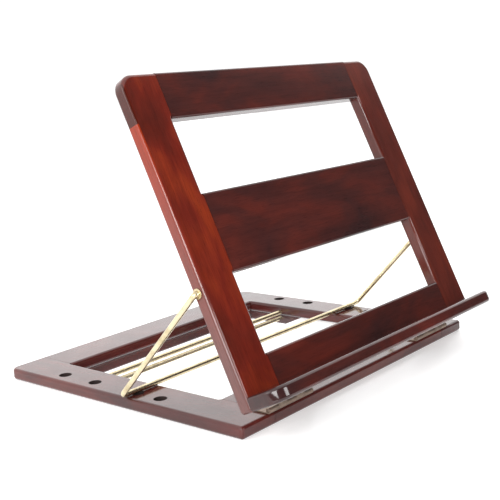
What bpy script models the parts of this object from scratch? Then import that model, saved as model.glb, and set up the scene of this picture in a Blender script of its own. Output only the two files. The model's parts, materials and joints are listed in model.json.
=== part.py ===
"""Folding bible stand: a hinged easel frame with a ledge, held up from a flat base frame by a brass bail.

Metres, +Z up. The front edge of the base faces -Y, and the origin is the middle of the object's
footprint, on the surface that it stands on. Easel pieces are modelled lying flat over the base in
the easel's own frame, whose X axis is the hinge axis, and the frame is then turned up by OPEN_ANGLE.
"""
import math

import bmesh
import bpy
from mathutils import Matrix, Vector

MM = 0.001

# Base frame
WIDTH = 355 * MM
BASE_DEPTH = 300 * MM
BASE_THICKNESS = 11 * MM
SIDE_RAIL_WIDTH = 41 * MM
FRONT_RAIL_WIDTH = 60 * MM
REAR_RAIL_WIDTH = 45 * MM
BASE_REAR_RADIUS = 9 * MM
BASE_FRONT_RADIUS = 2.5 * MM

# Stop holes in the tops of the side rails, measured from the front and the outer edge
STOP_HOLE_RADIUS = 5.8 * MM
STOP_HOLE_DEPTH = 6 * MM
STOP_HOLE_INSET = 14.6 * MM
STOP_HOLE_PLACES = (104.7 * MM, 133 * MM, 189.6 * MM, 232 * MM)

# Easel frame
OPEN_ANGLE = math.radians(65.5)
EASEL_HEIGHT = 286 * MM
EASEL_THICKNESS = 12.5 * MM
STILE_WIDTH = 40.6 * MM
BOTTOM_RAIL_WIDTH = 38 * MM
MIDDLE_RAIL_START = 108 * MM
MIDDLE_RAIL_END = 177.5 * MM
TOP_RAIL_START = 244.5 * MM
EASEL_TOP_RADIUS = 14 * MM
EASEL_BOTTOM_RADIUS = 3 * MM

# Ledge along the foot of the easel
LEDGE_DEPTH = 32 * MM
LEDGE_THICKNESS = 12 * MM
LEDGE_CORNER_RADIUS = 16 * MM

# Edges and clearances
OUTER_ROUND = 3 * MM
WINDOW_ROUND = 2 * MM
ROUND_SEGMENTS = 3
CORNER_SEGMENTS = 6
GAP = 0.3 * MM
RUNNING_CLEARANCE = 0.08 * MM
SCREW_CLEARANCE = 0.2 * MM
MERGE = 0.00001
SHARP_ANGLE = math.radians(35)
COARSE_SIDES = 16
FINE_SIDES = 20

# Butt hinges between the two frames
FOLDED_GAP = 5.6 * MM
HINGE_SETBACK = 0.5 * MM
EASEL_SETBACK = 5.8 * MM
HINGE_CENTRE = 115.2 * MM
HINGE_LENGTH = 58.5 * MM
LEAF_REACH = 17 * MM
LEAF_THICKNESS = 1.2 * MM
BARREL_RADIUS = 2.4 * MM
HINGE_PIN_RADIUS = 1.15 * MM
KNUCKLES = 5
KNUCKLE_TAIL = 5 * MM
KNUCKLE_INSET = 0.05 * MM
HINGE_SCREW_SPACING = 17 * MM
HINGE_SCREW_REACH = 11.8 * MM
HINGE_SCREW_LENGTH = 8.5 * MM
HINGE_SCREW_HEAD = 2.4 * MM
HINGE_SCREW_SHANK = 1.2 * MM

# Screws through the easel into the ledge, and the dowels in the frame joints
LEDGE_SCREW_PLACES = (-157 * MM, -50 * MM, 50 * MM, 157 * MM)
LEDGE_SCREW_LENGTH = 28 * MM
LEDGE_SCREW_HEAD = 3.4 * MM
LEDGE_SCREW_SHANK = 1.7 * MM
DOWEL_RADIUS = 3 * MM
DOWEL_HALF_LENGTH = 14 * MM

# Places of the two dowels at each rail's end, as shares of the rail's width
FRONT_RAIL_DOWELS = (0.35, 0.75)
REAR_RAIL_DOWELS = (0.27, 0.7)
EASEL_RAIL_DOWELS = (0.42, 0.78)

# Brass bail, its bushes, and the rod across the base
WIRE_RADIUS = 2.5 * MM
BAIL_REACH = 139.1 * MM
BAIL_BEND = 6 * MM
PIVOT_BEND = 2.8 * MM
BEND_POINTS = 6
PIVOT_HEIGHT = 100.3 * MM
PIVOT_DEPTH = 6 * MM
PIVOT_INSERT = 12 * MM
BUSH_FLANGE_RADIUS = 4.4 * MM
BUSH_FLANGE_THICKNESS = 1 * MM
BUSH_TUBE_RADIUS = 3.3 * MM
CROSS_ROD_PLACE = 210 * MM
CROSS_ROD_HEIGHT = 3.6 * MM
CROSS_ROD_INSERT = 10 * MM

# Derived places
HALF_WIDTH = WIDTH / 2
OPENING_HALF = HALF_WIDTH - SIDE_RAIL_WIDTH
WINDOW_HALF = HALF_WIDTH - STILE_WIDTH
EASEL_BACK = FOLDED_GAP / 2
EASEL_FRONT = EASEL_BACK + EASEL_THICKNESS
EASEL_FOOT = EASEL_SETBACK
EASEL_HEAD = EASEL_SETBACK + EASEL_HEIGHT
LEDGE_FRONT = EASEL_FRONT + LEDGE_DEPTH


def ledge_overhang():
    """How far the ledge's lowest front edge reaches in front of the base."""
    along = EASEL_FOOT + OUTER_ROUND
    out = LEDGE_FRONT - OUTER_ROUND
    place = HINGE_SETBACK + along * math.cos(OPEN_ANGLE) - out * math.sin(OPEN_ANGLE)
    return OUTER_ROUND - place


BASE_FRONT = -(BASE_DEPTH - ledge_overhang()) / 2
BASE_REAR = BASE_FRONT + BASE_DEPTH
HINGE_AXIS = Vector((0, BASE_FRONT + HINGE_SETBACK, BASE_THICKNESS + FOLDED_GAP / 2))

# Looks: colour, roughness, metallic
WOOD = ((0.16, 0.035, 0.022, 1), 0.25, 0)
BRASS = ((0.78, 0.62, 0.33, 1), 0.25, 1)
STEEL = ((0.55, 0.53, 0.5, 1), 0.35, 1)
BEECH = ((0.55, 0.38, 0.22, 1), 0.6, 0)


def clear_scene():
    for obj in list(bpy.data.objects):
        bpy.data.objects.remove(obj, do_unlink=True)


def make_collection(name):
    collection = bpy.data.collections.new(name)
    bpy.context.scene.collection.children.link(collection)
    return collection


def make_material(name, look):
    colour, roughness, metallic = look
    material = bpy.data.materials.new(name)
    material.use_nodes = True
    shader = material.node_tree.nodes["Principled BSDF"]
    shader.inputs["Base Color"].default_value = colour
    shader.inputs["Roughness"].default_value = roughness
    shader.inputs["Metallic"].default_value = metallic
    material.diffuse_color = colour
    return material


class Stand:
    """The two collections and the two moving frames that the pieces are put in."""

    def __init__(self):
        self.parts = make_collection("bible_stand")
        self.cutters = make_collection("bible_stand_cutters")
        self.easel = self.empty("easel_hinge_axis", HINGE_AXIS, None)
        self.easel.rotation_euler = (OPEN_ANGLE, 0, 0)
        pivot = (0, EASEL_FOOT + PIVOT_HEIGHT, EASEL_BACK + PIVOT_DEPTH)
        self.bail = self.empty("bail_pivot_axis", pivot, self.easel)

    def empty(self, name, place, parent):
        marker = bpy.data.objects.new(name, None)
        marker.location = place
        marker.parent = parent
        self.parts.objects.link(marker)
        return marker

    def add(self, name, data, look, place=(0, 0, 0), turn=None, parent=None):
        obj = bpy.data.objects.new(name, data)
        obj.location = place
        if turn is not None:
            obj.rotation_euler = turn.to_euler()
        obj.parent = parent
        data.materials.append(make_material(name, look))
        self.parts.objects.link(obj)
        return obj

    def cut(self, target, data, place=(0, 0, 0), turn=None, parent=None, operation="DIFFERENCE"):
        """Cut the target with a tool mesh, or join the tool to it."""
        tool = bpy.data.objects.new(f"{target.name}_tool", data)
        tool.location = place
        if turn is not None:
            tool.rotation_euler = turn.to_euler()
        tool.parent = parent
        tool.hide_render = True
        tool.display_type = "WIRE"
        self.cutters.objects.link(tool)
        modifier = target.modifiers.new(tool.name, "BOOLEAN")
        modifier.operation = operation
        modifier.solver = "EXACT"
        modifier.object = tool


def mesh_from(bm, name):
    mesh = bpy.data.meshes.new(name)
    bm.to_mesh(mesh)
    bm.free()
    return mesh


def axis_turn(direction):
    """The rotation that takes +Z to the given direction."""
    return Vector((0, 0, 1)).rotation_difference(Vector(direction)).to_matrix()


def smooth(mesh):
    mesh.shade_smooth()
    mesh.set_sharp_from_angle(angle=SHARP_ANGLE)
    return mesh


def cylinder(radius, length, sides=FINE_SIDES):
    """A closed cylinder along Z, centred on its own origin."""
    bm = bmesh.new()
    bmesh.ops.create_cone(
        bm, cap_ends=True, segments=sides, radius1=radius, radius2=radius, depth=length)
    return smooth(mesh_from(bm, "cylinder"))


def is_outline_edge(edge):
    """True where a flat top or bottom face meets a side wall."""
    flat = [abs(face.normal.z) > 0.9 for face in edge.link_faces]
    return len(flat) == 2 and flat[0] != flat[1]


def is_square(middle, half, square):
    for axis, side, start, end in square:
        across = 1 - axis
        on_side = abs(middle[axis] - side * half[axis]) < GAP / 2
        if on_side and start - MERGE <= middle[across] <= end + MERGE:
            return True
    return False


def bevel(bm, edges, radius, segments):
    bmesh.ops.bevel(
        bm, geom=edges, offset=radius, offset_type="OFFSET", segments=segments,
        profile=0.5, affect="EDGES", clamp_overlap=False)


def board_mesh(size, corners=(), square=(), radius=OUTER_ROUND):
    """A board with rounded long edges.

    corners holds (x side, y side, radius) for each upright corner that is rounded. square holds
    (axis, side, start, end) for each stretch of a side whose edges stay square, because another
    board butts against it there.
    """
    half = Vector(size) / 2
    bm = bmesh.new()
    bmesh.ops.create_cube(bm, size=1, matrix=Matrix.Diagonal((*size, 1)))
    for x_side, y_side, corner_radius in corners:
        upright = [
            edge for edge in bm.edges
            if all((v.co.x * x_side > half.x - MERGE) and (v.co.y * y_side > half.y - MERGE)
                   for v in edge.verts)]
        bevel(bm, upright, corner_radius, CORNER_SEGMENTS)
    for axis, _side, start, end in square:
        across = 1 - axis
        normal = Vector((across == 0, across == 1, 0))
        for limit in (start, end):
            if abs(limit) < half[across] - MERGE:
                everything = bm.verts[:] + bm.edges[:] + bm.faces[:]
                bmesh.ops.bisect_plane(bm, geom=everything, plane_co=normal * limit, plane_no=normal)
    bm.normal_update()
    soft = [
        edge for edge in bm.edges
        if is_outline_edge(edge)
        and not is_square((edge.verts[0].co + edge.verts[1].co) / 2, half, square)]
    bevel(bm, soft, radius, ROUND_SEGMENTS)
    return smooth(mesh_from(bm, "board"))


def board(stand, name, low, high, parent=None, **shape):
    """Add a board that fills the box from low to high. Its square stretches are in the box's frame."""
    low = Vector(low)
    high = Vector(high)
    centre = (low + high) / 2
    square = [
        (axis, side, start - centre[1 - axis], end - centre[1 - axis])
        for axis, side, start, end in shape.pop("square", ())]
    mesh = board_mesh(high - low, square=square, **shape)
    return stand.add(name, mesh, WOOD, centre, parent=parent)


def turned(stand, name, profile, place, turn, parent, look, closed=False):
    """Add a turned piece: a profile of (radius, height) points from top to bottom, spun about Z."""
    obj = stand.add(name, profile_mesh(profile, closed), look, place, turn, parent)
    spin(obj)
    return obj


def profile_mesh(profile, closed):
    mesh = bpy.data.meshes.new("profile")
    points = [(radius, 0, height) for radius, height in profile]
    edges = [(i, i + 1) for i in range(len(points) - 1)]
    if closed:
        edges.append((len(points) - 1, 0))
    mesh.from_pydata(points, edges, [])
    return mesh


def spin(obj, steps=COARSE_SIDES):
    screw = obj.modifiers.new("turn", "SCREW")
    screw.axis = "Z"
    screw.angle = math.tau
    screw.steps = steps
    screw.render_steps = steps
    screw.use_merge_vertices = True
    screw.merge_threshold = MERGE
    screw.use_smooth_shade = True


def screw_profile(head, shank, length, grow=0.0):
    """A countersunk screw from its flat head at height 0 down to its point."""
    sink = head - shank
    top = 2 * grow
    return [
        (0, top), (head + grow, top), (head + grow, -grow / 2), (shank + grow, -sink - grow / 2),
        (shank + grow, -length + 2 * shank), (0, -length - grow)]


def fit_screw(stand, name, place, turn, parent, look, sizes, targets):
    """Add a countersunk screw, and cut its hole in each target."""
    turned(stand, name, screw_profile(*sizes), place, turn, parent, look)
    for target in targets:
        cutter = revolve_mesh(screw_profile(*sizes, grow=SCREW_CLEARANCE))
        stand.cut(target, cutter, place, turn, parent)


def revolve_mesh(profile, sides=COARSE_SIDES):
    """The closed mesh that a profile from axis to axis sweeps round Z."""
    bm = bmesh.new()
    points = [bm.verts.new((radius, 0, height)) for radius, height in profile]
    lines = [bm.edges.new(pair) for pair in zip(points, points[1:])]
    bmesh.ops.spin(
        bm, geom=points + lines, cent=(0, 0, 0), axis=(0, 0, 1), angle=math.tau, steps=sides,
        use_merge=True)
    bmesh.ops.remove_doubles(bm, verts=bm.verts, dist=MERGE)
    bmesh.ops.recalc_face_normals(bm, faces=bm.faces)
    return mesh_from(bm, "revolved")


def fit_dowel(stand, name, place, parent, rail, stile):
    """Add a dowel along X across a frame joint, and drill both boards for it."""
    turn = axis_turn((1, 0, 0))
    mesh = cylinder(DOWEL_RADIUS, 2 * DOWEL_HALF_LENGTH, COARSE_SIDES)
    stand.add(name, mesh, BEECH, place, turn, parent)
    for target in (rail, stile):
        drill = cylinder(DOWEL_RADIUS + GAP, 2 * (DOWEL_HALF_LENGTH + GAP), COARSE_SIDES)
        stand.cut(target, drill, place, turn, parent)


def make_base(stand):
    """Two side rails with stop holes, a front rail, a rear rail and the brass rod across the opening."""
    front_inner = BASE_FRONT + FRONT_RAIL_WIDTH
    rear_inner = BASE_REAR - REAR_RAIL_WIDTH
    rails = {}
    for side, word in ((-1, "left"), (1, "right")):
        edges = sorted((side * OPENING_HALF, side * HALF_WIDTH))
        rails[side] = board(
            stand, f"base_{word}_rail", (edges[0], BASE_FRONT, 0), (edges[1], BASE_REAR, BASE_THICKNESS),
            corners=((side, -1, BASE_FRONT_RADIUS), (side, 1, BASE_REAR_RADIUS)),
            square=((0, -side, BASE_FRONT, front_inner), (0, -side, rear_inner, BASE_REAR)))
        for place in STOP_HOLE_PLACES:
            drill = cylinder(STOP_HOLE_RADIUS, 2 * STOP_HOLE_DEPTH)
            x = side * (HALF_WIDTH - STOP_HOLE_INSET)
            stand.cut(rails[side], drill, (x, BASE_FRONT + place, BASE_THICKNESS))
    ends = OPENING_HALF - GAP
    butt = [(0, side, BASE_FRONT, BASE_REAR) for side in (-1, 1)]
    front = board(
        stand, "base_front_rail", (-ends, BASE_FRONT, 0), (ends, front_inner, BASE_THICKNESS), square=butt)
    rear = board(
        stand, "base_rear_rail", (-ends, rear_inner, 0), (ends, BASE_REAR, BASE_THICKNESS), square=butt)
    dowel_rows = (
        (front, "front", BASE_FRONT, FRONT_RAIL_WIDTH, FRONT_RAIL_DOWELS),
        (rear, "rear", rear_inner, REAR_RAIL_WIDTH, REAR_RAIL_DOWELS))
    for side, word in ((-1, "left"), (1, "right")):
        for rail, row, start, width, shares in dowel_rows:
            for number, share in enumerate(shares, 1):
                place = (side * OPENING_HALF, start + share * width, BASE_THICKNESS / 2)
                fit_dowel(stand, f"base_dowel_{row}_{word}_{number}", place, None, rail, rails[side])
    make_cross_rod(stand, rails)
    return front


def make_cross_rod(stand, rails):
    place = (0, BASE_FRONT + CROSS_ROD_PLACE, CROSS_ROD_HEIGHT)
    turn = axis_turn((1, 0, 0))
    length = 2 * (OPENING_HALF + CROSS_ROD_INSERT)
    stand.add("base_cross_rod", cylinder(WIRE_RADIUS, length, COARSE_SIDES), BRASS, place, turn)
    for rail in rails.values():
        stand.cut(rail, cylinder(WIRE_RADIUS + GAP, length + 2 * GAP, COARSE_SIDES), place, turn)


def make_easel(stand):
    """Two full-height stiles, and the top, middle and bottom rails between them."""
    rail_spans = {
        "bottom": (0, BOTTOM_RAIL_WIDTH),
        "middle": (MIDDLE_RAIL_START, MIDDLE_RAIL_END),
        "top": (TOP_RAIL_START, EASEL_HEIGHT)}
    stiles = {}
    for side, word in ((-1, "left"), (1, "right")):
        edges = sorted((side * WINDOW_HALF, side * HALF_WIDTH))
        stiles[side] = board(
            stand, f"easel_{word}_stile", (edges[0], EASEL_FOOT, EASEL_BACK),
            (edges[1], EASEL_HEAD, EASEL_FRONT), stand.easel,
            corners=((side, -1, EASEL_BOTTOM_RADIUS), (side, 1, EASEL_TOP_RADIUS)),
            square=[(0, -side, EASEL_FOOT + a, EASEL_FOOT + b) for a, b in rail_spans.values()])
    ends = WINDOW_HALF - GAP
    rails = {}
    for word, (start, end) in rail_spans.items():
        butt = [(0, side, EASEL_FOOT, EASEL_HEAD) for side in (-1, 1)]
        rails[word] = board(
            stand, f"easel_{word}_rail", (-ends, EASEL_FOOT + start, EASEL_BACK),
            (ends, EASEL_FOOT + end, EASEL_FRONT), stand.easel, square=butt, radius=WINDOW_ROUND)
        for number, share in enumerate(EASEL_RAIL_DOWELS, 1):
            height = EASEL_FOOT + start + share * (end - start)
            for side, hand in ((-1, "left"), (1, "right")):
                fit_dowel(
                    stand, f"easel_dowel_{word}_{hand}_{number}",
                    (side * WINDOW_HALF, height, (EASEL_BACK + EASEL_FRONT) / 2), stand.easel,
                    rails[word], stiles[side])
    return stiles, rails


def make_ledge(stand, stiles, rails):
    """The ledge, square against the easel's face, and the screws that hold it from behind."""
    height = EASEL_FOOT + LEDGE_THICKNESS / 2
    centre = (0, height, (EASEL_FRONT + GAP + LEDGE_FRONT) / 2)
    ledge = stand.add("ledge", ledge_mesh(), WOOD, centre, parent=stand.easel)
    turn = axis_turn((0, 0, -1))
    sizes = (LEDGE_SCREW_HEAD, LEDGE_SCREW_SHANK, LEDGE_SCREW_LENGTH)
    for number, x in enumerate(LEDGE_SCREW_PLACES, 1):
        wood = rails["bottom"] if abs(x) < WINDOW_HALF else stiles[math.copysign(1, x)]
        fit_screw(
            stand, f"ledge_screw_{number}", (x, height, EASEL_BACK), turn, stand.easel, STEEL, sizes,
            (wood, ledge))


def ledge_mesh():
    """A board whose front face is its far Z side: the plan outline lies in X and Z."""
    size = (WIDTH, LEDGE_DEPTH - GAP, LEDGE_THICKNESS)
    mesh = board_mesh(
        size, corners=((-1, 1, LEDGE_CORNER_RADIUS), (1, 1, LEDGE_CORNER_RADIUS)),
        square=((1, -1, -WIDTH, WIDTH),))
    mesh.transform(Matrix(((1, 0, 0, 0), (0, 0, 1, 0), (0, 1, 0, 0), (0, 0, 0, 1))))
    mesh.flip_normals()
    return mesh


def knuckle_mesh(length):
    """One knuckle along X: a round barrel with a tail that runs into its leaf, which lies below it."""
    low = -EASEL_BACK + GAP + KNUCKLE_INSET
    high = low + LEAF_THICKNESS - 2 * KNUCKLE_INSET
    start = math.atan2(high, math.sqrt(BARREL_RADIUS ** 2 - high ** 2))
    sweep = 1.5 * math.pi - start
    outline = [(KNUCKLE_TAIL, low), (KNUCKLE_TAIL, high)]
    for step in range(COARSE_SIDES + 1):
        angle = start + sweep * step / COARSE_SIDES
        outline.append((BARREL_RADIUS * math.cos(angle), BARREL_RADIUS * math.sin(angle)))
    outline.append((0, low))
    bm = bmesh.new()
    face = bm.faces.new([bm.verts.new((-length / 2, y, z)) for y, z in outline])
    swept = bmesh.ops.extrude_face_region(bm, geom=[face])["geom"]
    moved = [item for item in swept if isinstance(item, bmesh.types.BMVert)]
    bmesh.ops.translate(bm, verts=moved, vec=(length, 0, 0))
    bmesh.ops.recalc_face_normals(bm, faces=bm.faces)
    return mesh_from(bm, "knuckle")


def make_leaf(stand, name, centre, parent, numbers, flip):
    """One hinge leaf with its share of the knuckles. flip turns it over, against the upper frame."""
    start = BARREL_RADIUS + 2 * GAP
    size = (HINGE_LENGTH, LEAF_REACH - start, LEAF_THICKNESS)
    height = -EASEL_BACK + GAP + LEAF_THICKNESS / 2
    turn = Matrix.Diagonal((1, 1, -1 if flip else 1))
    bm = bmesh.new()
    plate = Matrix.Translation((0, start + size[1] / 2, height)) @ Matrix.Diagonal((*size, 1))
    bmesh.ops.create_cube(bm, size=1, matrix=plate)
    leaf = stand.add(name, mirrored(mesh_from(bm, "plate"), turn), BRASS, centre, parent=parent)
    pitch = HINGE_LENGTH / KNUCKLES
    for number in numbers:
        x = (number - (KNUCKLES - 1) / 2) * pitch
        place = (centre[0] + x, centre[1], centre[2])
        knuckle = mirrored(knuckle_mesh(pitch - GAP), turn)
        stand.cut(leaf, knuckle, place, parent=parent, operation="UNION")
    bore = cylinder(HINGE_PIN_RADIUS + RUNNING_CLEARANCE, 2 * HINGE_LENGTH)
    stand.cut(leaf, bore, centre, axis_turn((1, 0, 0)), parent)
    return leaf


def mirrored(mesh, turn):
    mesh.transform(turn.to_4x4())
    if turn.determinant() < 0:
        mesh.flip_normals()
    return mesh


def make_hinges(stand, front_rail, bottom_rail):
    """Two butt hinges, each with a base leaf, an easel leaf, a pin and three screws in each leaf."""
    sizes = (HINGE_SCREW_HEAD, HINGE_SCREW_SHANK, HINGE_SCREW_LENGTH)
    for side, word in ((-1, "left"), (1, "right")):
        x = side * HINGE_CENTRE
        on_base = (x, HINGE_AXIS.y, HINGE_AXIS.z)
        on_easel = (x, 0, 0)
        lower = make_leaf(stand, f"hinge_{word}_base_leaf", on_base, None, (0, 2, 4), False)
        upper = make_leaf(stand, f"hinge_{word}_easel_leaf", on_easel, stand.easel, (1, 3), True)
        pin = cylinder(HINGE_PIN_RADIUS, HINGE_LENGTH - GAP)
        stand.add(f"hinge_{word}_pin", pin, BRASS, on_base, axis_turn((1, 0, 0)))
        face = EASEL_BACK - GAP - LEAF_THICKNESS
        for number in (-1, 0, 1):
            offset = number * HINGE_SCREW_SPACING
            low = (x + offset, HINGE_AXIS.y + HINGE_SCREW_REACH, HINGE_AXIS.z - face)
            high = (x + offset, HINGE_SCREW_REACH, face)
            fit_screw(
                stand, f"hinge_{word}_base_screw_{number + 2}", low, axis_turn((0, 0, 1)), None,
                BRASS, sizes, (lower, front_rail))
            fit_screw(
                stand, f"hinge_{word}_easel_screw_{number + 2}", high, axis_turn((0, 0, -1)),
                stand.easel, BRASS, sizes, (upper, bottom_rail))


def bend(corner, before, after, radius):
    """Points of the arc that rounds a wire's corner between two straight runs."""
    into = (corner - before).normalized()
    out = (after - corner).normalized()
    centre = corner + (out - into) * radius
    points = []
    for step in range(BEND_POINTS + 1):
        angle = math.pi / 2 * step / BEND_POINTS
        points.append(centre + radius * (into * math.sin(angle) - out * math.cos(angle)))
    return points


def bail_angle():
    """The bail's direction below the horizontal that lays its crossbar on the base."""
    pivot = HINGE_AXIS.z + (EASEL_FOOT + PIVOT_HEIGHT) * math.sin(OPEN_ANGLE)
    pivot += (EASEL_BACK + PIVOT_DEPTH) * math.cos(OPEN_ANGLE)
    drop = pivot - (BASE_THICKNESS + GAP + WIRE_RADIUS)
    return math.asin(drop / BAIL_REACH)


def make_bail(stand, stiles):
    """The U-shaped wire: its ends turn in bushes in the stiles, and its crossbar lies on the base."""
    stand.bail.rotation_euler = (-OPEN_ANGLE - bail_angle(), 0, 0)
    arm = HALF_WIDTH + BUSH_FLANGE_THICKNESS + 2 * GAP + WIRE_RADIUS
    corners = [
        Vector((-HALF_WIDTH + PIVOT_INSERT, 0, 0)), Vector((-arm, 0, 0)), Vector((-arm, BAIL_REACH, 0)),
        Vector((arm, BAIL_REACH, 0)), Vector((arm, 0, 0)), Vector((HALF_WIDTH - PIVOT_INSERT, 0, 0))]
    radii = (PIVOT_BEND, BAIL_BEND, BAIL_BEND, PIVOT_BEND)
    points = [corners[0]]
    for before, corner, after, radius in zip(corners, corners[1:], corners[2:], radii):
        points += bend(corner, before, after, radius)
    points.append(corners[-1])
    curve = bpy.data.curves.new("bail_wire", "CURVE")
    curve.dimensions = "3D"
    curve.bevel_depth = WIRE_RADIUS
    curve.bevel_resolution = 2
    curve.use_fill_caps = True
    spline = curve.splines.new("POLY")
    spline.points.add(len(points) - 1)
    for point, place in zip(spline.points, points):
        point.co = (*place, 1)
    stand.add("bail_wire", curve, BRASS, parent=stand.bail)
    for side, word in ((-1, "left"), (1, "right")):
        make_bush(stand, word, side, stiles[side])


def make_bush(stand, word, side, stile):
    """A flanged bush let into a stile's outer face, which a bail end turns in."""
    bore = WIRE_RADIUS + RUNNING_CLEARANCE
    depth = PIVOT_INSERT + GAP
    profile = [
        (bore, BUSH_FLANGE_THICKNESS + GAP), (BUSH_FLANGE_RADIUS, BUSH_FLANGE_THICKNESS + GAP),
        (BUSH_FLANGE_RADIUS, GAP), (BUSH_TUBE_RADIUS, GAP), (BUSH_TUBE_RADIUS, -depth), (bore, -depth)]
    turn = axis_turn((side, 0, 0))
    pivot = stand.bail.location
    place = (side * HALF_WIDTH, pivot.y, pivot.z)
    turned(stand, f"bail_bush_{word}", profile, place, turn, stand.easel, BRASS, closed=True)
    drill = cylinder(BUSH_TUBE_RADIUS + GAP, 2 * (depth + GAP))
    stand.cut(stile, drill, place, turn, stand.easel)


def main():
    clear_scene()
    stand = Stand()
    front_rail = make_base(stand)
    stiles, rails = make_easel(stand)
    make_ledge(stand, stiles, rails)
    make_hinges(stand, front_rail, rails["bottom"])
    make_bail(stand, stiles)


main()
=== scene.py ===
import json
import math

import bmesh
import bpy
from mathutils import Matrix, Vector


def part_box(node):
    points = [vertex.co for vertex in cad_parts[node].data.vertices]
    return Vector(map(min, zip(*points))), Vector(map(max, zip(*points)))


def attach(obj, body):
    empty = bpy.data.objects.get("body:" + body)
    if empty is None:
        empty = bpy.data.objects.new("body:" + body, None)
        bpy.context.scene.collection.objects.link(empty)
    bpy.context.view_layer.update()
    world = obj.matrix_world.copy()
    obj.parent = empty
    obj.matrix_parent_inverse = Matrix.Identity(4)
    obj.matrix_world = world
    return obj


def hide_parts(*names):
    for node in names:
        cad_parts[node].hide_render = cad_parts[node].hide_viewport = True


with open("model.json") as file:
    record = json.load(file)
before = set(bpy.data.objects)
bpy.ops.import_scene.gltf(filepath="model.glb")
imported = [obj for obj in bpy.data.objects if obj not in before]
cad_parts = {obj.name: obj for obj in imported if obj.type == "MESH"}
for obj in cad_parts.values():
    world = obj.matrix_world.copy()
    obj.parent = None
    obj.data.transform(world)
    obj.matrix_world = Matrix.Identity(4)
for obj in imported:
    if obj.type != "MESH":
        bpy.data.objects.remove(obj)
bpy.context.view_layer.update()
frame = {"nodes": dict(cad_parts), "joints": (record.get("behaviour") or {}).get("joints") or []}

MM = 0.001

# The view: the camera stands in front of the left corner and is held a little askew
CAMERA_PLACE = Vector((-0.6965, -0.5962, 0.2837))
CAMERA_AZIMUTH = math.radians(-49.02)
CAMERA_ELEVATION = math.radians(10.56)
CAMERA_ROLL = math.radians(-3.6)
CAMERA_LENS = 68.34
CAMERA_SENSOR = 36
CAMERA_CLIP = 0.01
CAMERA_SHIFT = (0.0098, -0.0073)

# Rounding of the wooden edges and corners
OUTER_ROUND = 3 * MM
WINDOW_ROUND = 2 * MM
EASEL_TOP_RADIUS = 14 * MM
EASEL_BOTTOM_RADIUS = 3.2 * MM
LEDGE_CORNER_RADIUS = 16 * MM
BASE_REAR_RADIUS = 9 * MM
BASE_FRONT_RADIUS = 3.2 * MM
EDGE_SEGMENTS = 9
CORNER_SEGMENTS = 16

# Shading: the angle that makes an edge sharp, and the least part of its normal that a flat face
# has along one axis, for keeping its own normal and for counting as a board's top or bottom
SHARP_ANGLE = math.radians(30)
FLAT = 0.9999
LEVEL = 0.9

# Two places closer than this are one place
NEAR = 0.01 * MM

# A stretch of a side that reaches past both ends of any board
WHOLE_SIDE = (-1, 1)

# Stop holes in the tops of the side rails, from the front and the outer edge of the base
STOP_HOLE_RADIUS = 5.8 * MM
STOP_HOLE_DEPTH = 6 * MM
STOP_HOLE_POINT = 1 * MM
STOP_HOLE_CHAMFER = 0.3 * MM
STOP_HOLE_INSET = 14.6 * MM
STOP_HOLE_PLACES = (104.7 * MM, 133 * MM, 189.6 * MM, 232 * MM)

# Cutting tools stand this far out of the surface. Rods and stop holes have this many sides
OVERCUT = 1 * MM
ROUND_SIDES = 40

# Brass wire, cross rod and hinge pins
BAIL_BEND = 6 * MM
PIVOT_BEND = 2.8 * MM
BEND_POINTS = 10
WIRE_RESOLUTION = 8
PIN_CLEARANCE = 0.3 * MM
ROD_CHAMFER = 0.6 * MM
PIN_CHAMFER = 0.4 * MM

# Screws: the shank's radius and the slot's width, depth and half length are shares of the
# head's radius, and each screw is turned further than the one before it
LEDGE_SCREW_HEAD = 3.4 * MM
COUNTERSINK_DEPTH = 8 * MM
SCREW_CLEARANCE = 0.2 * MM
SCREW_RIM = 0.25 * MM
SCREW_SIDES = 28
SCREW_TURN = 1.1
SHANK_SHARE = 0.5
SLOT_SHARE = 0.22
SLOT_REACH = 1.5

# Mahogany: dark, middle and light tone of each kind of board, and their places in its clouds
LEFT_STILE_TONES = ((0.07, 0.008, 0.004), (0.12, 0.011, 0.005), (0.22, 0.026, 0.006))
RIGHT_STILE_TONES = ((0.05, 0.009, 0.006), (0.085, 0.013, 0.008), (0.13, 0.019, 0.009))
RAIL_TONES = ((0.028, 0.009, 0.009), (0.05, 0.011, 0.009), (0.095, 0.014, 0.009))
BASE_TONES = ((0.045, 0.009, 0.008), (0.075, 0.011, 0.009), (0.12, 0.018, 0.011))
TONE_STOPS = (0.3, 0.5, 0.72)

# The left stile's outer side carries painted light from the left, a painted reflection of the floor at
# its foot and painted shade near its top. From the middle of the board: where this paint starts, how far
# up it darkens, the lit colour and the colour at the foot, and how dark the shaded part is
SIDE_START = -18.5 * MM
SIDE_DARK_START = 100 * MM
SIDE_PAINTED_LIGHT = (0.24, 0.02, 0.002)
FOOT_PAINTED_REFLECTION = (0.12, 0.045, 0.04)
SIDE_SHADE = 0.2

# Noises are (scale, detail, roughness, distortion). Along the grain a share of the scale is used
CLOUD_NOISE = (22, 3, 0.55, 0.6)
CLOUD_ALONG = 0.45
GLOSS_NOISE = (60, 2)
RIPPLE_NOISE = (260, 2)

# Each board's texture is moved by its seed times these steps
SEED_STEPS = (1.7, 2.9, 4.3)
SEEDS = {
    "base_left": 2, "base_right": 4, "base_front": 5, "base_rear": 7, "bottom": 11, "middle": 13,
    "top": 17, "stile_left": 19, "stile_right": 21, "ledge": 31}

# Figure, streaks and pores: share along the grain, noise, shades at two stops, and weight
GRAIN_LAYERS = (
    (0.09, (130, 4, 0.6, 0.8), ((0.32, 0.72), (0.62, 1.0)), 0.75),
    (0.03, (900, 3, 0.65), ((0.3, 0.7), (0.65, 1.0)), 0.55),
    (0.05, (2300, 1, 0.5), ((0.3, 0.35), (0.4, 1.0)), 0.5))

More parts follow.
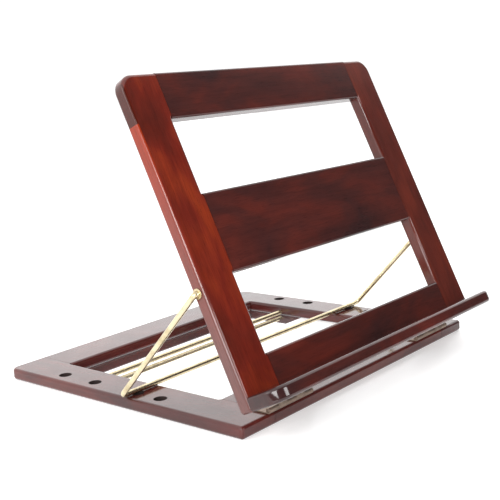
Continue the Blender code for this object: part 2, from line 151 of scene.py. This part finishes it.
# Lacquer: roughness under the coat, then the coat. Bumps are (strength, height)
WOOD_ROUGHNESS = (0.36, 0.48)
WOOD_SPECULAR = 0.05
COAT_ROUGHNESS = 0.1
COAT_IOR = 1.45
PORE_BUMP = (0.08, 0.2 * MM)
RIPPLE_BUMP = (0.05, 0.3 * MM)

# Brass: tarnish, and the marks that drawing leaves along X
TARNISH_NOISE = (100, 4, 0.6)
TARNISH_STOPS = (0.42, 0.75)
TARNISH_GLOSS_STOPS = (0.35, 0.75)
TARNISH_ROUGHENING = 0.16
MARK_NOISE = (2000, 2)
MARK_ALONG = 0.1
MARK_BUMP = (0.08, 0.05 * MM)

# Where a plain noise takes its first and its second value
MOTTLE_STOPS = (0.3, 0.7)

# The room's light is dim in front of the stand and bright behind it, and changes between two
# places along a slope. The camera sees it evenly white, as the backdrop
ROOM_DIM = 0.04
ROOM_BRIGHT = 1.7
ROOM_SLOPE = (0, 1, 0.6)
ROOM_CHANGE = (-0.15, 0.12)
BACKDROP = 1.1
WHITE = (1, 1, 1)

# Softboxes: name, place, the point that it faces, size and power
SOFTBOXES = (
    ("key_softbox", (-1.28, -0.85, 0.6), (0, 0, 0.1), (0.75, 0.6), 19),
    ("front_softbox", (0.2, -1.4, 0.55), (0, 0, 0.05), (0.5, 0.4), 7),
    ("left_softbox", (-1.1, 0.25, 0.7), (-0.3, 0.1, 0.05), (0.6, 0.6), 3))

# Floor
FLOOR_SIZE = 8
FLOOR_NOISE = (6, 2)
FLOOR_GREYS = (0.7, 0.74)
FLOOR_ROUGHNESS = 0.4
FLOOR_GLOW = 0.38

# The glossy strip of table inside the flat frame. It turns from floor to mirror between two
# values of Layer Weight's facing
PLATE_REACH = 1.8 * MM
PLATE_FRONT = 50 * MM
PLATE_HEIGHT = 0.1 * MM
PLATE_FACING = (0.4, 0.62)
PLATE_MIRROR = 0.97
PLATE_TINT = (0.93, 0.93, 0.94)
PLATE_ROUGHNESS = 0.04


# ---------------------------------------------------------------- frame helpers

def joint(name):
    return next(item for item in frame["joints"] if item["name"] == name)


def easel_home():
    """The frame that the easel's pieces lie flat in.

    Its X axis is the hinge axis, and it is turned up by the fold's range.
    """
    fold = joint("easel_fold")
    turn = Matrix.Rotation(-math.radians(fold["range_deg"][0]), 4, "X")
    return Matrix.Translation(fold["pos_m"]) @ turn


BASE = Matrix.Identity(4)
EASEL = easel_home()


def local_box(node, home):
    """Lowest and highest corner of a CAD node, measured in the given frame."""
    back = home.inverted()
    points = [back @ vertex.co for vertex in frame["nodes"][node].data.vertices]
    low = Vector([min(point[axis] for point in points) for axis in range(3)])
    high = Vector([max(point[axis] for point in points) for axis in range(3)])
    return low, high


def new_object(name, data):
    obj = bpy.data.objects.new(name, data)
    bpy.context.scene.collection.objects.link(obj)
    return obj


def add(name, data, material, body, node, home=BASE):
    """Put a piece in the scene, on its body, in place of its CAD node."""
    obj = new_object(name, data)
    obj.matrix_world = home
    data.materials.append(material)
    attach(obj, body)
    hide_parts(node)
    return obj


# ---------------------------------------------------------------- materials

class Nodes:
    """A short way to write a material's node tree."""

    def __init__(self, name):
        self.material = bpy.data.materials.new(name)
        self.material.use_nodes = True
        self.tree = self.material.node_tree
        self.shader = self.tree.nodes["Principled BSDF"]

    def new(self, kind, **settings):
        node = self.tree.nodes.new(kind)
        for key, value in settings.items():
            setattr(node, key, value)
        return node

    def fill(self, socket, value):
        """Give a socket a number or a colour, or link it to another node's output."""
        if isinstance(value, bpy.types.NodeSocket):
            self.tree.links.new(value, socket)
        elif isinstance(value, tuple):
            socket.default_value = (*value, 1)
        else:
            socket.default_value = value

    def surface(self, name, value):
        self.fill(self.shader.inputs[name], value)

    def coordinates(self, scale=(1, 1, 1), offset=(0, 0, 0)):
        """The piece's own coordinates, multiplied by scale and moved by offset."""
        place = self.new("ShaderNodeTexCoord")
        mapping = self.new("ShaderNodeMapping")
        mapping.inputs["Scale"].default_value = scale
        mapping.inputs["Location"].default_value = offset
        self.fill(mapping.inputs["Vector"], place.outputs["Object"])
        return mapping.outputs["Vector"]

    def noise(self, vector, scale, detail, roughness=0.5, distortion=0.0):
        node = self.new("ShaderNodeTexNoise")
        node.inputs["Scale"].default_value = scale
        node.inputs["Detail"].default_value = detail
        node.inputs["Roughness"].default_value = roughness
        node.inputs["Distortion"].default_value = distortion
        self.fill(node.inputs["Vector"], vector)
        return node.outputs["Fac"]

    def ramp(self, value, *stops):
        """A colour ramp whose stops are (position, colour or grey)."""
        node = self.new("ShaderNodeValToRGB")
        elements = node.color_ramp.elements
        while len(elements) < len(stops):
            elements.new(0.5)
        for element, (position, colour) in zip(elements, stops):
            element.position = position
            element.color = (*colour, 1) if isinstance(colour, tuple) else (colour, colour, colour, 1)
        self.fill(node.inputs["Fac"], value)
        return node.outputs["Color"]

    def mix(self, factor, first, second, blend="MIX"):
        """A mix of two colours. Such a node keeps them in its sockets 6 and 7."""
        node = self.new("ShaderNodeMix", data_type="RGBA", blend_type=blend)
        self.fill(node.inputs[0], factor)
        self.fill(node.inputs[6], first)
        self.fill(node.inputs[7], second)
        return node.outputs[2]

    def compare(self, value, operation, limit):
        node = self.new("ShaderNodeMath", operation=operation)
        self.fill(node.inputs[0], value)
        self.fill(node.inputs[1], limit)
        return node.outputs[0]

    def bump(self, height, strength, distance):
        node = self.new("ShaderNodeBump")
        node.inputs["Strength"].default_value = strength
        node.inputs["Distance"].default_value = distance
        self.fill(node.inputs["Height"], height)
        return node.outputs["Normal"]


def along(axis, share):
    """A mapping scale that stretches a texture along one axis."""
    scale = [1, 1, 1]
    scale[axis] = share
    return scale


def wood(word, axis, tones, painted_side=False):
    """Lacquered mahogany for one board, with the grain along one of its axes.

    Its last argument gives the sawn side at low X painted light, a painted floor reflection and painted
    shade of its own.
    """
    nodes = Nodes(f"mahogany_{word}")
    offset = tuple(SEEDS[word] * step for step in SEED_STEPS)
    even = nodes.coordinates(offset=offset)
    cloud = nodes.noise(nodes.coordinates(along(axis, CLOUD_ALONG), offset), *CLOUD_NOISE)
    colour = nodes.ramp(cloud, *zip(TONE_STOPS, tones))
    # paint light, a floor reflection and shade onto the stile's outer side
    if painted_side:
        colour = paint_side_light_and_shade(nodes, colour)
    for share, noise, stops, weight in GRAIN_LAYERS:
        grain = nodes.noise(nodes.coordinates(along(axis, share), offset), *noise)
        layer = nodes.ramp(grain, *stops)
        colour = nodes.mix(weight, colour, layer, "MULTIPLY")
    pores = layer
    gloss = nodes.noise(even, *GLOSS_NOISE)
    nodes.surface("Base Color", colour)
    nodes.surface("Roughness", nodes.ramp(gloss, *zip(MOTTLE_STOPS, WOOD_ROUGHNESS)))
    nodes.surface("Normal", nodes.bump(pores, *PORE_BUMP))
    nodes.surface("Coat Normal", nodes.bump(nodes.noise(even, *RIPPLE_NOISE), *RIPPLE_BUMP))
    nodes.surface("Coat Weight", 1.0)
    nodes.surface("Coat Roughness", COAT_ROUGHNESS)
    nodes.surface("Coat IOR", COAT_IOR)
    nodes.surface("Specular IOR Level", WOOD_SPECULAR)
    return nodes.material


def paint_side_light_and_shade(nodes, colour):
    """Paint light onto the side of a board beyond SIDE_START, fading to a painted floor reflection at the
    foot, with painted shade at the top.
    """
    place = nodes.new("ShaderNodeSeparateXYZ")
    nodes.fill(place.inputs["Vector"], nodes.coordinates())
    beyond = nodes.compare(place.outputs["X"], "LESS_THAN", SIDE_START)
    above = nodes.compare(place.outputs["Y"], "GREATER_THAN", SIDE_DARK_START)
    fade = nodes.new("ShaderNodeMapRange")
    nodes.fill(fade.inputs["Value"], place.outputs["Y"])
    fade.inputs["From Min"].default_value = -SIDE_DARK_START
    fade.inputs["From Max"].default_value = SIDE_DARK_START
    # painted light from the left, turning into a painted reflection of the floor towards the foot
    lit_side = nodes.mix(fade.outputs["Result"], FOOT_PAINTED_REFLECTION, SIDE_PAINTED_LIGHT)
    # painted shade near the top
    shaded = nodes.mix(above, lit_side, tuple(part * SIDE_SHADE for part in SIDE_PAINTED_LIGHT))
    return nodes.mix(beyond, colour, shaded)


def brass(name, bright, dull, roughness):
    """Brass with slight tarnish and drawn marks."""
    nodes = Nodes(name)
    tarnish = nodes.noise(nodes.coordinates(), *TARNISH_NOISE)
    marks = nodes.noise(nodes.coordinates(along(0, MARK_ALONG)), *MARK_NOISE)
    share = nodes.ramp(tarnish, *zip(TARNISH_STOPS, (0.0, 1.0)))
    rough = (roughness, roughness + TARNISH_ROUGHENING)
    nodes.surface("Base Color", nodes.mix(share, bright, dull))
    nodes.surface("Roughness", nodes.ramp(tarnish, *zip(TARNISH_GLOSS_STOPS, rough)))
    nodes.surface("Normal", nodes.bump(marks, *MARK_BUMP))
    nodes.surface("Metallic", 1.0)
    return nodes.material


def mottled(name, scale, noise, colours, roughness, metallic=0.0):
    """A material whose colour and roughness follow one noise between two values."""
    nodes = Nodes(name)
    mottle = nodes.noise(nodes.coordinates(scale), *noise)
    nodes.surface("Base Color", nodes.ramp(mottle, *zip(MOTTLE_STOPS, colours)))
    nodes.surface("Roughness", nodes.ramp(mottle, *zip(MOTTLE_STOPS, roughness)))
    nodes.surface("Metallic", metallic)
    return nodes.material


WIRE_BRASS = brass("polished_brass", (0.68, 0.59, 0.4), (0.45, 0.37, 0.22), 0.18)
HINGE_BRASS = brass("antique_brass", (0.32, 0.24, 0.19), (0.2, 0.15, 0.12), 0.45)
BEECH = mottled(
    "beech", (0.05, 1, 1), (1200, 3, 0.6), ((0.42, 0.27, 0.14), (0.62, 0.45, 0.27)), (0.7, 0.55))
ZINC = mottled(
    "zinc_plate", (1, 1, 1), (900, 3, 0.6), ((0.42, 0.42, 0.41), (0.62, 0.61, 0.58)), (0.28, 0.42), 1.0)

# The bare wood inside the stop holes and countersinks, coloured near black as painted shade in the
# hollows
HOLE_WALL_PAINTED_SHADE = mottled(
    "bare_wood_painted_shade", (1, 0.1, 1), (1500, 3, 0.6), ((0.008, 0.003, 0.003), (0.022, 0.008, 0.006)), (0.75, 0.9))


# ---------------------------------------------------------------- wooden boards

def mesh_from(bm, name):
    mesh = bpy.data.meshes.new(name)
    bm.to_mesh(mesh)
    bm.free()
    shade(mesh)
    return mesh


def shade(mesh):
    """Shade rounded faces smooth, and let every flat face keep its own normal."""
    mesh.shade_smooth()
    mesh.set_sharp_from_angle(angle=SHARP_ANGLE)
    bm = bmesh.new()
    bm.from_mesh(mesh)
    for edge in bm.edges:
        flat = [max(map(abs, face.normal)) > FLAT for face in edge.link_faces]
        if any(flat) and not all(flat):
            edge.smooth = False
    bm.to_mesh(mesh)
    bm.free()


def bevel(bm, edges, radius, segments):
    bmesh.ops.bevel(
        bm, geom=edges, offset=radius, offset_type="OFFSET", segments=segments,
        profile=0.5, affect="EDGES", clamp_overlap=False, harden_normals=False)


def is_outline_edge(edge):
    """True where a flat top or bottom face meets a side wall."""
    flat = [abs(face.normal.z) > LEVEL for face in edge.link_faces]
    return len(flat) == 2 and flat[0] != flat[1]


def is_square(middle, half, square):
    """True if the middle of an edge lies on a stretch that stays square."""
    for axis, side, start, end in square:
        across = 1 - axis
        on_side = abs(middle[axis] - side * half[axis]) < NEAR
        if on_side and start - NEAR <= middle[across] <= end + NEAR:
            return True
    return False


def round_corner(bm, half, x_side, y_side, radius):
    """Round the upright edge of a board at one corner of its outline."""
    upright = [
        edge for edge in bm.edges
        if all(vertex.co.x * x_side > half.x - NEAR and vertex.co.y * y_side > half.y - NEAR
               for vertex in edge.verts)]
    bevel(bm, upright, radius, CORNER_SEGMENTS)


def split_side(bm, half, axis, start, end):
    """Cut a board across where a square stretch of its side starts and ends."""
    across = 1 - axis
    normal = Vector((across == 0, across == 1, 0))
    for limit in (start, end):
        if abs(limit) < half[across] - NEAR:
            everything = bm.verts[:] + bm.edges[:] + bm.faces[:]
            bmesh.ops.bisect_plane(bm, geom=everything, plane_co=normal * limit, plane_no=normal)


def board_mesh(size, corners=(), square=(), radius=OUTER_ROUND):
    """A board with rounded edges.

    corners holds (x side, y side, radius) for each upright corner that is rounded. square holds
    (axis, side, start, end) for each stretch of a side whose edges stay square under a joint.
    """
    half = Vector(size) / 2
    bm = bmesh.new()
    bmesh.ops.create_cube(bm, size=1, matrix=Matrix.Diagonal((*size, 1)))
    for x_side, y_side, corner_radius in corners:
        round_corner(bm, half, x_side, y_side, corner_radius)
    for axis, _side, start, end in square:
        split_side(bm, half, axis, start, end)
    bm.normal_update()
    soft = [
        edge for edge in bm.edges
        if is_outline_edge(edge)
        and not is_square((edge.verts[0].co + edge.verts[1].co) / 2, half, square)]
    bevel(bm, soft, radius, EDGE_SEGMENTS)
    return mesh_from(bm, "board")


def board(name, node, body, home, material, slot, square=(), **shape):
    """A wooden board in place of a CAD board. Its square stretches are in the frame's coordinates."""
    low, high = local_box(node, home)
    centre = (low + high) / 2
    square = [
        (axis, side, start - centre[1 - axis], end - centre[1 - axis])
        for axis, side, start, end in square]
    mesh = board_mesh(high - low, square=square, **shape)
    return add(name, mesh, material, body, node, home @ Matrix.Translation(centre))


def revolve(profile, sides):
    """The closed mesh that a profile from axis to axis sweeps round Z."""
    bm = bmesh.new()
    points = [bm.verts.new((radius, 0, height)) for radius, height in profile]
    lines = [bm.edges.new(pair) for pair in zip(points, points[1:])]
    bmesh.ops.spin(
        bm, geom=points + lines, cent=(0, 0, 0), axis=(0, 0, 1), angle=math.tau, steps=sides,
        use_merge=True)
    bmesh.ops.remove_doubles(bm, verts=bm.verts, dist=NEAR)
    bmesh.ops.recalc_face_normals(bm, faces=bm.faces)
    return mesh_from(bm, "turned")


def carve(target, tools, material):
    """Cut tools, given as (mesh, placement), out of a piece, and give the cuts a material."""
    cutters = []
    for mesh, placement in tools:
        mesh.materials.append(material)
        cutter = new_object("tool", mesh)
        cutter.matrix_world = placement
        modifier = target.modifiers.new("carve", "BOOLEAN")
        modifier.operation = "DIFFERENCE"
        modifier.solver = "EXACT"
        modifier.material_mode = "TRANSFER"
        modifier.object = cutter
        cutters.append(cutter)
    bpy.context.view_layer.update()
    graph = bpy.context.evaluated_depsgraph_get()
    mesh = bpy.data.meshes.new_from_object(target.evaluated_get(graph))
    target.modifiers.clear()
    target.data = mesh
    shade(mesh)
    for cutter in cutters:
        bpy.data.objects.remove(cutter, do_unlink=True)


def stop_hole_profile():
    wide = STOP_HOLE_RADIUS + STOP_HOLE_CHAMFER
    return (
        (0, OVERCUT), (wide, OVERCUT), (wide, 0), (STOP_HOLE_RADIUS, -STOP_HOLE_CHAMFER),
        (STOP_HOLE_RADIUS, STOP_HOLE_POINT - STOP_HOLE_DEPTH), (0, -STOP_HOLE_DEPTH))


def make_base():
    front_low, front_high = local_box("base_front_rail", BASE)
    rear_low, rear_high = local_box("base_rear_rail", BASE)
    for side, word in ((-1, "left"), (1, "right")):
        node = f"base_{word}_rail"
        low, high = local_box(node, BASE)
        rail = board(
            f"{word}_base_rail", node, "base", BASE,
            wood(f"base_{word}", 1, BASE_TONES), "base_wood",
            corners=((side, -1, BASE_FRONT_RADIUS), (side, 1, BASE_REAR_RADIUS)),
            square=((0, -side, low.y, front_high.y), (0, -side, rear_low.y, high.y)))
        edge = low.x if side < 0 else high.x
        tools = [
            (revolve(stop_hole_profile(), ROUND_SIDES),
             Matrix.Translation((edge - side * STOP_HOLE_INSET, low.y + place, high.z)))
            for place in STOP_HOLE_PLACES]
        # the stop holes' walls get near-black painted shade
        carve(rail, tools, HOLE_WALL_PAINTED_SHADE)
    butt = [(0, side, front_low.y, rear_high.y) for side in (-1, 1)]
    for word in ("front", "rear"):
        board(
            f"{word}_base_rail", f"base_{word}_rail", "base", BASE, wood(f"base_{word}", 0, BASE_TONES),
            "base_wood", square=butt)


def make_easel():
    """The rails and stiles, with countersinks in their backs for the ledge's screws."""
    spans = []
    boards = {}
    for word in ("bottom", "middle", "top"):
        node = f"easel_{word}_rail"
        low, high = local_box(node, EASEL)
        spans.append((low.y, high.y))
        boards[word] = board(
            f"{word}_easel_rail", node, "easel", EASEL, wood(word, 0, RAIL_TONES),
            "rail_wood", square=[(0, side, low.y, high.y) for side in (-1, 1)], radius=WINDOW_ROUND)
    # the left stile's outer side gets painted light, a painted floor reflection and painted shade
    for side, word, tones in ((-1, "left", LEFT_STILE_TONES), (1, "right", RIGHT_STILE_TONES)):
        boards[word] = board(
            f"{word}_easel_stile", f"easel_{word}_stile", "easel", EASEL,
            wood(f"stile_{word}", 1, tones, painted_side=side < 0), "stile_wood",
            corners=((side, -1, EASEL_BOTTOM_RADIUS), (side, 1, EASEL_TOP_RADIUS)),
            square=[(0, -side, *span) for span in spans])
    for word, numbers in (("left", (1,)), ("bottom", (2, 3)), ("right", (4,))):
        tools = [
            (revolve(countersink_profile(), SCREW_SIDES), screw_placement(f"ledge_screw_{number}"))
            for number in numbers]
        # the countersinks' walls get near-black painted shade
        carve(boards[word], tools, HOLE_WALL_PAINTED_SHADE)


def make_ledge():
    """The ledge is made flat, with its outline in X and Y, and stood up by a quarter turn about X."""
    quarter_turn = Matrix(((1, 0, 0, 0), (0, 0, -1, 0), (0, 1, 0, 0), (0, 0, 0, 1)))
    board(
        "easel_ledge", "ledge", "easel", EASEL @ quarter_turn, wood("ledge", 0, RAIL_TONES),
        "stile_wood",
        corners=((-1, 1, LEDGE_CORNER_RADIUS), (1, 1, LEDGE_CORNER_RADIUS)),
        square=((1, -1, *WHOLE_SIDE),))


# ---------------------------------------------------------------- brass

def bend(corner, before, after, radius):
    """Points of the arc that rounds a wire's square corner between two straight runs."""
    into = (corner - before).normalized()
    out = (after - corner).normalized()
    centre = corner + (out - into) * radius
    points = []
    for step in range(BEND_POINTS + 1):
        angle = math.pi / 2 * step / BEND_POINTS
        points.append(centre + radius * (into * math.sin(angle) - out * math.cos(angle)))
    return points


def wire(name, points, radius, body, node):
    curve = bpy.data.curves.new(name, "CURVE")
    curve.dimensions = "3D"
    curve.bevel_depth = radius
    curve.bevel_resolution = WIRE_RESOLUTION
    curve.use_fill_caps = True
    spline = curve.splines.new("POLY")
    spline.points.add(len(points) - 1)
    for point, place in zip(spline.points, points):
        point.co = (*place, 1)
    return add(name, curve, WIRE_BRASS, body, node)


def make_bail():
    """One wire: pivot end, arm, crossbar, arm, pivot end."""
    low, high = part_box("bail_wire")
    rod_low, rod_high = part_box("base_cross_rod")
    radius = (rod_high.z - rod_low.z) / 2
    pivot = Vector(joint("bail_swing")["pos_m"])
    bush_low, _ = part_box("bail_bush_right")
    arm = high.x - radius
    foot = Vector((0, high.y - radius, low.z + radius))
    across = Vector((1, 0, 0))
    end = bush_low.x + PIN_CLEARANCE
    corners = [
        pivot - across * end, pivot - across * arm, foot - across * arm,
        foot + across * arm, pivot + across * arm, pivot + across * end]
    radii = (PIVOT_BEND, BAIL_BEND, BAIL_BEND, PIVOT_BEND)
    points = [corners[0]]
    for before, corner, after, bend_radius in zip(corners, corners[1:], corners[2:], radii):
        points += bend(corner, before, after, bend_radius)
    points.append(corners[-1])
    wire("brass_bail", points, radius, "bail", "bail_wire")


def rod(name, node, material, chamfer):
    """A rod along X with chamfered ends."""
    low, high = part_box(node)
    radius = (high.z - low.z) / 2
    end = (high.x - low.x) / 2
    profile = [
        (0, end), (radius - chamfer, end), (radius, end - chamfer), (radius, chamfer - end),
        (radius - chamfer, -end), (0, -end)]
    home = Matrix.Translation((low + high) / 2) @ Matrix.Rotation(math.pi / 2, 4, "Y")
    add(name, revolve(profile, ROUND_SIDES), material, "base", node, home)


def make_rods():
    rod("brass_cross_rod", "base_cross_rod", WIRE_BRASS, ROD_CHAMFER)
    for side in ("left", "right"):
        rod(f"{side}_hinge_pin", f"hinge_{side}_pin", HINGE_BRASS, PIN_CHAMFER)


# ---------------------------------------------------------------- screws

def screw_home(node):
    return BASE if "base" in node else EASEL


def screw_placement(node):
    """The middle of a screw's head, with Z pointing out of the head."""
    home = screw_home(node)
    low, high = local_box(node, home)
    middle = (low + high) / 2
    if home is BASE:
        return Matrix.Translation((middle.x, middle.y, high.z))
    return home @ Matrix.Translation((middle.x, middle.y, low.z)) @ Matrix.Rotation(math.pi, 4, "X")


def screw_profile(head, length):
    """Half the outline of a countersunk screw, from the middle of its head to its point."""
    rim = SCREW_RIM
    shank = head * SHANK_SHARE
    return [
        (0, 0), (head - rim, 0), (head, -rim / 2), (head, -rim), (shank, shank - head - rim),
        (shank, 2 * shank - length), (0, -length)]


def countersink_profile():
    wide = LEDGE_SCREW_HEAD + SCREW_CLEARANCE
    narrow = wide * SHANK_SHARE
    return [
        (0, OVERCUT), (wide, OVERCUT), (wide, -SCREW_CLEARANCE), (narrow, -narrow - SCREW_CLEARANCE),
        (narrow, -COUNTERSINK_DEPTH), (0, -COUNTERSINK_DEPTH)]


def slot_tool(head):
    """A bar across a screw's head, whose lower half cuts the slot."""
    half = Vector((SLOT_REACH, SLOT_SHARE / 2, SLOT_SHARE)) * head
    bm = bmesh.new()
    bmesh.ops.create_cube(bm, size=2, matrix=Matrix.Diagonal((*half, 1)))
    return mesh_from(bm, "slot")


def make_screws():
    """Slotted countersunk screws, each slot turned its own way."""
    nodes = [node for node in sorted(frame["nodes"]) if "screw" in node]
    for number, node in enumerate(nodes):
        home = screw_home(node)
        low, high = local_box(node, home)
        head = (high.x - low.x) / 2
        material, slot = (ZINC, "steel") if node.startswith("ledge") else (HINGE_BRASS, "hinge_brass")
        body = "base" if home is BASE else "easel"
        placement = screw_placement(node)
        mesh = revolve(screw_profile(head, high.z - low.z), SCREW_SIDES)
        screw = add(f"slotted_{node}", mesh, material, body, node, placement)
        turn = Matrix.Rotation(SCREW_TURN * number, 4, "Z")
        carve(screw, [(slot_tool(head), placement @ turn)], material)


def carry_over(word, material):
    """Give the CAD nodes that are kept, and have the word in their names, a finished material."""
    for name, node in frame["nodes"].items():
        if word in name:
            node.data.materials.clear()
            node.data.materials.append(material)


# ---------------------------------------------------------------- stage

def make_camera():
    data = bpy.data.cameras.new("camera")
    data.lens = CAMERA_LENS
    data.sensor_width = CAMERA_SENSOR
    data.shift_x, data.shift_y = CAMERA_SHIFT
    data.clip_start = CAMERA_CLIP
    camera = new_object("camera", data)
    camera.location = CAMERA_PLACE
    turn = Matrix.Rotation(CAMERA_AZIMUTH, 3, "Z")
    turn = turn @ Matrix.Rotation(math.pi / 2 - CAMERA_ELEVATION, 3, "X")
    turn = turn @ Matrix.Rotation(CAMERA_ROLL, 3, "Z")
    camera.rotation_euler = turn.to_euler()
    bpy.context.scene.camera = camera


def stage_sheet(name, centre, width, depth, material):
    """A flat sheet that belongs to the stage."""
    bm = bmesh.new()
    matrix = Matrix.Translation(centre) @ Matrix.Diagonal((width, depth, 1, 1))
    bmesh.ops.create_grid(bm, x_segments=1, y_segments=1, size=0.5, matrix=matrix)
    sheet = new_object(name, mesh_from(bm, name))
    sheet.data.materials.append(material)


def make_floor():
    nodes = Nodes("pale_gloss")
    mottle = nodes.noise(nodes.coordinates(), *FLOOR_NOISE)
    nodes.surface("Base Color", nodes.ramp(mottle, *zip(MOTTLE_STOPS, FLOOR_GREYS)))
    nodes.surface("Roughness", FLOOR_ROUGHNESS)
    nodes.surface("Emission Color", WHITE)
    nodes.surface("Emission Strength", FLOOR_GLOW)
    stage_sheet("floor", (0, 0, 0), FLOOR_SIZE, FLOOR_SIZE, nodes.material)


def make_plate():
    """The glossy table top inside the back of the flat frame, a mirror at grazing angles."""
    nodes = Nodes("table_gloss")
    facing = nodes.new("ShaderNodeLayerWeight").outputs["Facing"]
    nodes.surface("Metallic", nodes.ramp(facing, *zip(PLATE_FACING, (0.0, PLATE_MIRROR))))
    nodes.surface("Emission Strength", nodes.ramp(facing, *zip(PLATE_FACING, (FLOOR_GLOW, 0.0))))
    nodes.surface("Base Color", PLATE_TINT)
    nodes.surface("Emission Color", WHITE)
    nodes.surface("Roughness", PLATE_ROUGHNESS)
    rear_low, rear_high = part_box("base_rear_rail")
    low = Vector((rear_low.x - PLATE_REACH, PLATE_FRONT, PLATE_HEIGHT))
    high = Vector((rear_high.x + PLATE_REACH, rear_low.y + PLATE_REACH, PLATE_HEIGHT))
    size = high - low
    stage_sheet("table_gloss", (low + high) / 2, size.x, size.y, nodes.material)


def make_world():
    """A white backdrop that gives a bright light from behind the stand and a dim one in front."""
    world = bpy.data.worlds.new("studio")
    world.use_nodes = True
    bpy.context.scene.world = world
    tree = world.node_tree
    background = tree.nodes["Background"]
    place = tree.nodes.new("ShaderNodeTexCoord")
    slope = tree.nodes.new("ShaderNodeVectorMath")
    slope.operation = "DOT_PRODUCT"
    slope.inputs[1].default_value = ROOM_SLOPE
    change = tree.nodes.new("ShaderNodeMapRange")
    change.inputs["From Min"].default_value, change.inputs["From Max"].default_value = ROOM_CHANGE
    change.inputs["To Min"].default_value = ROOM_DIM
    change.inputs["To Max"].default_value = ROOM_BRIGHT
    path = tree.nodes.new("ShaderNodeLightPath")
    strength = tree.nodes.new("ShaderNodeMix")
    strength.inputs["B"].default_value = BACKDROP
    tree.links.new(place.outputs["Generated"], slope.inputs[0])
    tree.links.new(slope.outputs["Value"], change.inputs["Value"])
    tree.links.new(path.outputs["Is Camera Ray"], strength.inputs["Factor"])
    tree.links.new(change.outputs["Result"], strength.inputs["A"])
    tree.links.new(strength.outputs["Result"], background.inputs["Strength"])
    background.inputs["Color"].default_value = (*WHITE, 1)


def softbox(name, place, target, size, power):
    data = bpy.data.lights.new(name, "AREA")
    data.shape = "RECTANGLE"
    data.size, data.size_y = size
    data.energy = power
    light = new_object(name, data)
    light.location = place
    direction = Vector(target) - Vector(place)
    light.rotation_euler = direction.to_track_quat("-Z", "Y").to_euler()


def make_stage():
    make_camera()
    make_floor()
    make_plate()
    make_world()
    for settings in SOFTBOXES:
        softbox(*settings)
    bpy.context.scene.view_settings.view_transform = "Standard"


make_base()
make_easel()
make_ledge()
make_bail()
make_rods()
make_screws()
carry_over("dowel", BEECH)
carry_over("leaf", HINGE_BRASS)
carry_over("bail_bush", WIRE_BRASS)
make_stage()
